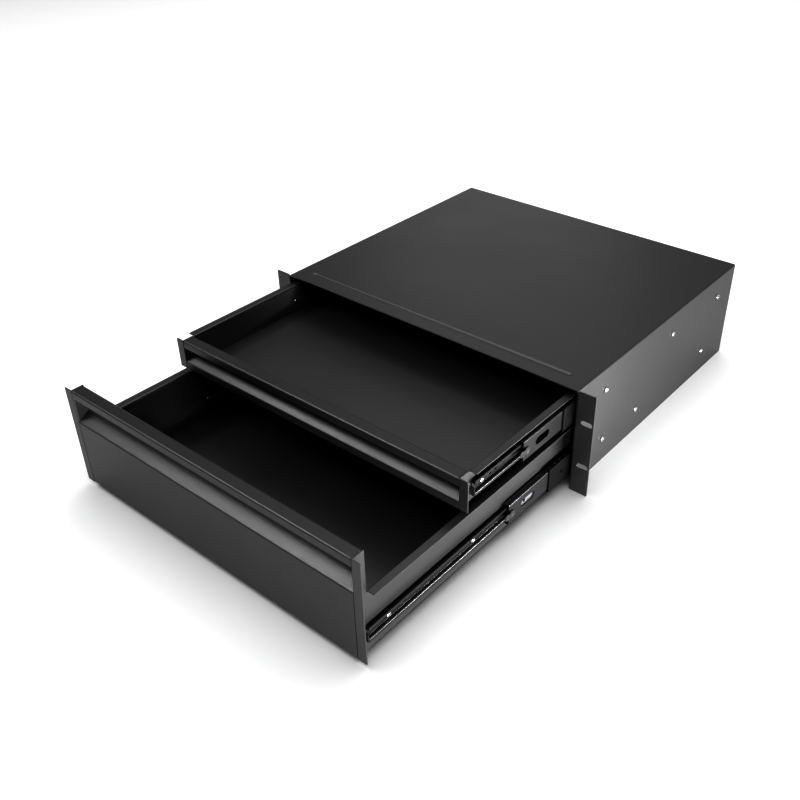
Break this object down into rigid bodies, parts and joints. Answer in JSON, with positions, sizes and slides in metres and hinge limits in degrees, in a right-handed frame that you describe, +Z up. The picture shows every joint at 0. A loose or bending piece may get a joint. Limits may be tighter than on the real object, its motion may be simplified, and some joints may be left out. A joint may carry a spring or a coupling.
{
  "type": "rack drawer unit",
  "caption": "Black steel 19-inch 3U rack unit: a folded case with slotted ears holds a low drawer with a tall front and a shallow drawer behind it, on telescopic ball slides.",
  "frame": {"origin": "on the floor under the middle of the unit's box at rest, with both drawers open; the front of the rack ears is the plane y = -0.0273", "axes": "+X to the unit's right as seen from the front, -Y the way the drawers open, +Z up"},
  "size_m": [0.4826, 0.7214, 0.1325],
  "materials": {
    "case_powder_coat": "fine-grain satin black powder coat on folded steel sheet",
    "drawer_powder_coat": "fine-grain satin black powder coat on folded steel sheet",
    "front_powder_coat": "fine-grain satin black powder coat on folded steel sheet",
    "black_slide_steel": "smooth semi-gloss black electrocoat on rolled steel, channels and outer ball cages",
    "zinc_plate": "bright zinc plate, inner ball cages with steel balls",
    "zinc_screws": "bright zinc-plated pan-head screws",
    "black_nylon": "moulded black nylon stop"
  },
  "bodies": {
    "case": {"case_shell": "case_powder_coat", "rear_panel": "case_powder_coat", "lower_left_slide_outer": "black_slide_steel", "lower_left_case_screw_1": "zinc_screws", "lower_left_case_screw_2": "zinc_screws", "lower_left_case_screw_3": "zinc_screws", "lower_right_slide_outer": "black_slide_steel", "lower_right_case_screw_1": "zinc_screws", "lower_right_case_screw_2": "zinc_screws", "lower_right_case_screw_3": "zinc_screws", "upper_left_slide_outer": "black_slide_steel", "upper_left_case_screw_1": "zinc_screws", "upper_left_case_screw_2": "zinc_screws", "upper_left_case_screw_3": "zinc_screws", "upper_right_slide_outer": "black_slide_steel", "upper_right_case_screw_1": "zinc_screws", "upper_right_case_screw_2": "zinc_screws", "upper_right_case_screw_3": "zinc_screws"},
    "lower_drawer": {"lower_drawer_front": "front_powder_coat", "lower_drawer_tray": "drawer_powder_coat", "lower_drawer_left_side": "drawer_powder_coat", "lower_drawer_right_side": "drawer_powder_coat", "lower_left_slide_inner": "black_slide_steel", "lower_left_member_screw_1": "zinc_screws", "lower_left_member_screw_2": "zinc_screws", "lower_right_slide_inner": "black_slide_steel", "lower_right_member_screw_1": "zinc_screws", "lower_right_member_screw_2": "zinc_screws"},
    "lower_left_middle": {"lower_left_slide_middle": "black_slide_steel", "lower_left_slide_bumper": "black_nylon"},
    "lower_left_outer_cage": {"lower_left_slide_outer_cage": "black_slide_steel"},
    "lower_left_inner_cage": {"lower_left_slide_inner_cage": "zinc_plate"},
    "lower_right_middle": {"lower_right_slide_middle": "black_slide_steel", "lower_right_slide_bumper": "black_nylon"},
    "lower_right_outer_cage": {"lower_right_slide_outer_cage": "black_slide_steel"},
    "lower_right_inner_cage": {"lower_right_slide_inner_cage": "zinc_plate"},
    "upper_drawer": {"upper_drawer_front": "front_powder_coat", "upper_drawer_tray": "drawer_powder_coat", "upper_drawer_left_side": "drawer_powder_coat", "upper_drawer_right_side": "drawer_powder_coat", "upper_left_slide_inner": "black_slide_steel", "upper_left_member_screw_1": "zinc_screws", "upper_left_member_screw_2": "zinc_screws", "upper_right_slide_inner": "black_slide_steel", "upper_right_member_screw_1": "zinc_screws", "upper_right_member_screw_2": "zinc_screws"},
    "upper_left_middle": {"upper_left_slide_middle": "black_slide_steel", "upper_left_slide_bumper": "black_nylon"},
    "upper_left_outer_cage": {"upper_left_slide_outer_cage": "black_slide_steel"},
    "upper_left_inner_cage": {"upper_left_slide_inner_cage": "zinc_plate"},
    "upper_right_middle": {"upper_right_slide_middle": "black_slide_steel", "upper_right_slide_bumper": "black_nylon"},
    "upper_right_outer_cage": {"upper_right_slide_outer_cage": "black_slide_steel"},
    "upper_right_inner_cage": {"upper_right_slide_inner_cage": "zinc_plate"}
  },
  "joints": [
    {"name": "lower_drawer_slide", "type": "slide", "parent": "case", "child": "lower_drawer", "axis": [0, -1, 0], "range_m": [-0.3334, 0.0166]},
    {"name": "upper_drawer_slide", "type": "slide", "parent": "case", "child": "upper_drawer", "axis": [0, -1, 0], "range_m": [-0.20391, 0.01015]},
    {"name": "lower_left_middle_slide", "type": "slide", "parent": "case", "child": "lower_left_middle", "axis": [0, -1, 0], "range_m": [-0.12202, 0.00608]},
    {"name": "lower_left_outer_cage_slide", "type": "slide", "parent": "case", "child": "lower_left_outer_cage", "axis": [0, -1, 0], "range_m": [-0.06101, 0.00304]},
    {"name": "lower_left_inner_cage_slide", "type": "slide", "parent": "case", "child": "lower_left_inner_cage", "axis": [0, -1, 0], "range_m": [-0.22771, 0.01134]},
    {"name": "lower_right_middle_slide", "type": "slide", "parent": "case", "child": "lower_right_middle", "axis": [0, -1, 0], "range_m": [-0.12202, 0.00608]},
    {"name": "lower_right_outer_cage_slide", "type": "slide", "parent": "case", "child": "lower_right_outer_cage", "axis": [0, -1, 0], "range_m": [-0.06101, 0.00304]},
    {"name": "lower_right_inner_cage_slide", "type": "slide", "parent": "case", "child": "lower_right_inner_cage", "axis": [0, -1, 0], "range_m": [-0.22771, 0.01134]},
    {"name": "upper_left_middle_slide", "type": "slide", "parent": "case", "child": "upper_left_middle", "axis": [0, -1, 0], "range_m": [-0.119, 0.00593]},
    {"name": "upper_left_outer_cage_slide", "type": "slide", "parent": "case", "child": "upper_left_outer_cage", "axis": [0, -1, 0], "range_m": [-0.0595, 0.00296]},
    {"name": "upper_left_inner_cage_slide", "type": "slide", "parent": "case", "child": "upper_left_inner_cage", "axis": [0, -1, 0], "range_m": [-0.16145, 0.00804]},
    {"name": "upper_right_middle_slide", "type": "slide", "parent": "case", "child": "upper_right_middle", "axis": [0, -1, 0], "range_m": [-0.119, 0.00593]},
    {"name": "upper_right_outer_cage_slide", "type": "slide", "parent": "case", "child": "upper_right_outer_cage", "axis": [0, -1, 0], "range_m": [-0.0595, 0.00296]},
    {"name": "upper_right_inner_cage_slide", "type": "slide", "parent": "case", "child": "upper_right_inner_cage", "axis": [0, -1, 0], "range_m": [-0.16145, 0.00804]}
  ],
  "couplings": [
    {"joint": "upper_drawer_slide", "follows": "lower_drawer_slide", "ratio": 0.6116},
    {"joint": "lower_left_middle_slide", "follows": "lower_drawer_slide", "ratio": 0.366},
    {"joint": "lower_left_outer_cage_slide", "follows": "lower_drawer_slide", "ratio": 0.183},
    {"joint": "lower_left_inner_cage_slide", "follows": "lower_drawer_slide", "ratio": 0.683},
    {"joint": "lower_right_middle_slide", "follows": "lower_drawer_slide", "ratio": 0.366},
    {"joint": "lower_right_outer_cage_slide", "follows": "lower_drawer_slide", "ratio": 0.183},
    {"joint": "lower_right_inner_cage_slide", "follows": "lower_drawer_slide", "ratio": 0.683},
    {"joint": "upper_left_middle_slide", "follows": "lower_drawer_slide", "ratio": 0.35693},
    {"joint": "upper_left_outer_cage_slide", "follows": "lower_drawer_slide", "ratio": 0.17847},
    {"joint": "upper_left_inner_cage_slide", "follows": "lower_drawer_slide", "ratio": 0.48427},
    {"joint": "upper_right_middle_slide", "follows": "lower_drawer_slide", "ratio": 0.35693},
    {"joint": "upper_right_outer_cage_slide", "follows": "lower_drawer_slide", "ratio": 0.17847},
    {"joint": "upper_right_inner_cage_slide", "follows": "lower_drawer_slide", "ratio": 0.48427}
  ]
}
